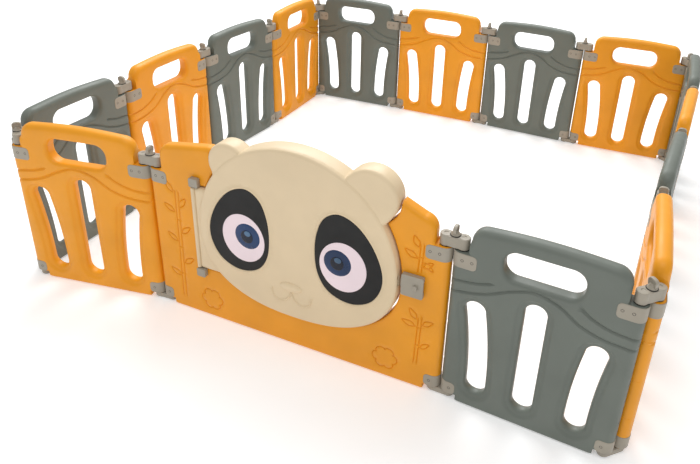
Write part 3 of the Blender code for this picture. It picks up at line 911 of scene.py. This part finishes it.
def end_fittings():
    """Brackets and screws of one wall end."""
    still = Matrix.Identity(4)
    brackets = [(bracket("upper_bracket", *UPPER_BRACKET), still)]
    brackets += [(bracket("lower_bracket", *LOWER_BRACKET), still)]
    screw, screws = screw_mesh(), []
    for x, z in SCREWS:
        # each cross is left at its own angle
        cross_turn = Matrix.Rotation(math.radians(31 + 900 * x), 4, "Y")
        ahead = Matrix.Translation((x, -RADIUS - PROUD, z)) @ cross_turn
        screws += [(screw, ahead), (screw, Matrix.Diagonal((1, -1, 1, 1)) @ ahead)]
    return brackets, screws


def link_mesh():
    """The upper bar with its barrels and wing knob, and the lower bar."""
    bm = bmesh.new()
    low, high = BAR_Z
    barrel = [
        (0.0150, low), (0.0166, low + 0.0012), (0.0170, low + 0.003), (0.0170, high - 0.003),
        (0.0164, high - 0.0010), (0.0150, high), (0.0065, high), (0.0060, high - 0.0016),
    ]
    for x in (0, LINK_SPAN):
        turned(bm, barrel, (x, 0))
        turned(bm, [(0.0130, SHOULDER_Z + 0.0004), (0.0130, low + 0.001)], (x, 0), 24)
    half = BAR_HALF_WIDTH
    bar = [(0, -half), (LINK_SPAN, -half), (LINK_SPAN, half), (0, half)]
    upright(bm, bar, low + 0.0015, high - 0.0010, 0.0016)
    knob_foot = [
        (0.0135, high - 0.004), (0.0135, high + 0.0020), (0.0125, high + 0.0035),
        (0.0100, high + 0.0065), (0.0082, high + 0.0110), (0.0076, high + 0.0140),
    ]
    turned(bm, knob_foot, (LINK_SPAN / 2, 0))
    wing = [
        (-0.0100, 0.0055), (0.0100, 0.0055), (0.0142, 0.0160), (0.0135, 0.0225), (0.0070, 0.0280),
        (-0.0070, 0.0280), (-0.0135, 0.0225), (-0.0142, 0.0160),
    ]
    across = Matrix.Translation((LINK_SPAN / 2, 0, high)) @ Matrix.Rotation(math.pi / 2, 4, "Z")
    lying(bm, closed_spline(wing, 5), -0.0050, 0.0050, 0.0018, dish=0.0022, matrix=across)
    upright(bm, stadium(0, LINK_SPAN, LOWER_BAR_RADIUS), *LOWER_BAR_Z, 0.0018)
    for x in (0, LINK_SPAN):
        turned(bm, [(0.0075, 0.0200), (0.0075, 0.0222)], (x, 0), 20)
    return finished(bm, "link", 35)


def rubber_mesh():
    """Washers under the barrels and the knob, and the pads the lower bar stands on."""
    bm = bmesh.new()
    washer = [(0.0150, 0.5108), (0.0158, 0.5114), (0.0158, 0.5124), (0.0150, 0.5130)]
    pad = [(0.0125, 0.0), (0.0138, 0.0010), (0.0138, 0.0036)]
    for x in (0, LINK_SPAN):
        turned(bm, washer, (x, 0))
        turned(bm, pad, (x, 0))
    knob_washer = [(0.0146, 0.5462), (0.0150, 0.5468), (0.0150, 0.5478), (0.0140, 0.5484)]
    turned(bm, knob_washer, (LINK_SPAN / 2, 0))
    return finished(bm, "rubber", 35)


def block(name, body, centre, size, corner, reach, bevel, *nodes, dish=0.0):
    """A rounded grey block on the gate's front: its box in (x, z) and how far out it reaches."""
    bm = bmesh.new()
    lying(bm, rounded_box(centre, size, corner), *reach, bevel, dish)
    put(name, finished(bm, name, 35), GATE, body, LINK_GREY, "link_plastic", *nodes)


def cut(ob, low, high):
    """Takes a box, given in the gate's frame, out of a piece's mesh."""
    bm = bmesh.new()
    bmesh.ops.create_cube(bm, size=1)
    size = Vector(high) - Vector(low)
    place = Matrix.Translation((Vector(low) + Vector(high)) / 2) @ Matrix.Diagonal((*size, 1))
    bmesh.ops.transform(bm, matrix=place, verts=bm.verts)
    tool = bpy.data.objects.new("cutter", finished(bm, "cutter"))
    bpy.context.scene.collection.objects.link(tool)
    tool.matrix_world = GATE
    change = ob.modifiers.new("pocket", "BOOLEAN")
    change.object, change.operation, change.solver = tool, "DIFFERENCE", "EXACT"
    bpy.context.view_layer.update()
    mesh = bpy.data.meshes.new_from_object(ob.evaluated_get(bpy.context.evaluated_depsgraph_get()))
    ob.modifiers.clear()
    ob.data = mesh
    bpy.data.objects.remove(tool)


# ---- the pen ----
GATE = wall_frame(0)
shell, (bracket_parts, screw_parts) = panel_mesh(), end_fittings()
brackets = joined("brackets", both_ends(bracket_parts, SPAN))
screws = joined("screws", both_ends(screw_parts, SPAN))
for index, name in enumerate(WALLS[1:], start=1):
    place = wall_frame(index)
    if name.startswith("panel_back"):
        place = place @ Matrix.Translation((SPAN, 0, 0)) @ Matrix.Rotation(math.pi, 4, "Z")
    yellow = name in YELLOW_PANELS
    material, slot = (YELLOW, "yellow_plastic") if yellow else (GREY, "grey_plastic")
    put(f"{name}_shell", shell, place, name, material, slot, name)
    put(f"{name}_brackets", brackets, place, name, LINK_GREY, "link_plastic")
    put(f"{name}_screws", screws, place, name, SCREW, "screw_steel")

link, rubber = link_mesh(), rubber_mesh()
for i in range(1, LINKS + 1):
    place, body = standing(*ENDS[i]), f"link_{i}"
    bars = f"top_{body}", f"bottom_{body}"
    put(f"{body}_bars", link, place, body, LINK_GREY, "link_plastic", *bars)
    put(f"{body}_rubber", rubber, place, body, RUBBER, "foot_rubber")

put("gate_shell", gate_mesh(), GATE, "gate", YELLOW, "yellow_plastic", "gate_frame")
gate_brackets = joined("gate_brackets", both_ends(bracket_parts, GATE_SPAN))
gate_screws = joined("gate_screws", both_ends(screw_parts, GATE_SPAN))
put("gate_end_brackets", gate_brackets, GATE, "gate", LINK_GREY, "link_plastic")
put("gate_end_screws", gate_screws, GATE, "gate", SCREW, "screw_steel")

door = put("door_head", door_mesh(), GATE, "door", CREAM, "cream_plastic", "panda_door")
cut(door, *POCKET)
barrel = bmesh.new()
turned(barrel, KNUCKLE_PROFILE, KNUCKLE)
put("door_barrel", finished(barrel, "door_barrel", 35), GATE, "door", CREAM, "cream_plastic")
for side, which in ((-1, "left"), (1, "right")):
    iris_x, iris_z = HEAD_X + side * IRIS[0][0], IRIS[0][1]
    white = dense(ellipse((HEAD_X + side * WHITE[0][0], WHITE[0][1]), WHITE[1], 48), 0.006)
    iris = ellipse((iris_x, iris_z), (IRIS[1], IRIS[1]), 44)
    pupil = ellipse((iris_x, iris_z), PUPIL, 30)
    glint = ellipse((iris_x + GLINT[0][0], iris_z + GLINT[0][1]), GLINT[1], 20)
    # lift off the face, bulge, and how far in from the edge the bulge is reached
    inlay(f"eye_patch_{which}", PATCHES[side], 0.0002, 0.0008, 0.003, PATCH, "eye_patch")
    inlay(f"eye_white_{which}", white, 0.0012, 0.0014, 0.010, EYE_WHITE, "eye_white")
    inlay(f"eye_iris_{which}", iris, 0.0026, 0.0034, 0.043, EYE_BLUE, "eye_blue")
    inlay(f"eye_pupil_{which}", pupil, 0.0058, 0.0012, 0.012, EYE_DARK, "eye_blue")
    inlay(f"eye_glint_{which}", glint, 0.0072, 0.0004, 0.005, EYE_GLINT, "eye_blue")

for which, z in HINGE_BLOCK_Z.items():
    block(f"hinge_block_{which}", "gate", (HINGE_BLOCK_X, z), (0.032, 0.030), 0.005,
          (0.0229, 0.0388), 0.0014, f"door_bracket_{which}", dish=0.0008)
block("latch_cover", "gate", (LATCH_X, 0.367), (0.066, 0.070), 0.006,
      (0.0314, 0.0370), 0.0014, "latch_housing", dish=0.0006)
for which, z in RAIL_Z.items():
    block(f"latch_rail_{which}", "gate", (LATCH_X, z), (0.064, 0.0175), 0.003,
          (0.0229, 0.0322), 0.0010)
block("latch_tongue", "bolt", (0.8675, BOLT_Z), (0.057, 0.030), 0.004,
      (0.0255, 0.0308), 0.0012, "latch_bolt")
block("latch_tab", "bolt", (0.886, BOLT_Z), (0.012, 0.015), 0.002, (0.0302, 0.0420), 0.0012)


# ---- setting ----
CAMERA_PLACE = (0.8836, -2.4187, 1.5183)
CAMERA_TURNS = (-21.81, 25.99, 2.89)    # yaw from +Y, pitch below level, roll
CAMERA_SHIFT = (-0.0643, -0.1171)
FLOOR_GLOW = 0.32           # keeps the floor pale beside the shadows
WORLD_STRENGTH = 0.60


def floor():
    bm = bmesh.new()
    bmesh.ops.create_grid(bm, x_segments=1, y_segments=1, size=20)
    ob = bpy.data.objects.new("floor", finished(bm, "floor"))
    bpy.context.scene.collection.objects.link(ob)
    ob.material_slots[0].link = "OBJECT"
    paint = plastic("pale_floor", (0.86, 0.86, 0.86), 0.75, grain=0.02, mottle=0.01)
    shader = paint.node_tree.nodes["Principled BSDF"]
    shader.inputs["Emission Color"].default_value = (1, 1, 1, 1)
    shader.inputs["Emission Strength"].default_value = FLOOR_GLOW
    ob.material_slots[0].material = paint


def lamp(name, place, target, size, power):
    """A square area lamp at a place, turned to a target."""
    data = bpy.data.lights.new(name, "AREA")
    data.size, data.energy = size, power
    ob = bpy.data.objects.new(name, data)
    bpy.context.scene.collection.objects.link(ob)
    ob.location = place
    ob.rotation_euler = (Vector(target) - Vector(place)).to_track_quat("-Z", "Y").to_euler()


def camera():
    """The camera, with its lens shifted to frame the pen."""
    yaw, pitch, roll = (math.radians(degrees) for degrees in CAMERA_TURNS)
    level_reach = math.cos(pitch)
    ahead = Vector((math.sin(yaw) * level_reach, math.cos(yaw) * level_reach, -math.sin(pitch)))
    level = Vector((math.cos(yaw), -math.sin(yaw), 0))
    above = level.cross(ahead)
    right = math.cos(roll) * level + math.sin(roll) * above
    up = -math.sin(roll) * level + math.cos(roll) * above
    data = bpy.data.cameras.new("camera")
    data.sensor_width, data.lens = 36, 35.0
    data.shift_x, data.shift_y = CAMERA_SHIFT
    ob = bpy.data.objects.new("camera", data)
    bpy.context.scene.collection.objects.link(ob)
    axes = Matrix((right, up, -ahead)).transposed().to_4x4()
    ob.matrix_world = Matrix.Translation(CAMERA_PLACE) @ axes
    bpy.context.scene.camera = ob


floor()
camera()
lamp("key", (-1.4, 2.6, 4.6), (0, 0, 0.2), 4.5, 300)
lamp("front", (0.6, -2.6, 4.6), (0, -0.9, 0.3), 2.4, 45)
world = bpy.data.worlds.new("studio")
world.use_nodes = True
background = world.node_tree.nodes["Background"]
background.inputs["Color"].default_value = (1, 1, 1, 1)
background.inputs["Strength"].default_value = WORLD_STRENGTH
bpy.context.scene.world = world
bpy.context.scene.view_settings.view_transform = "Standard"
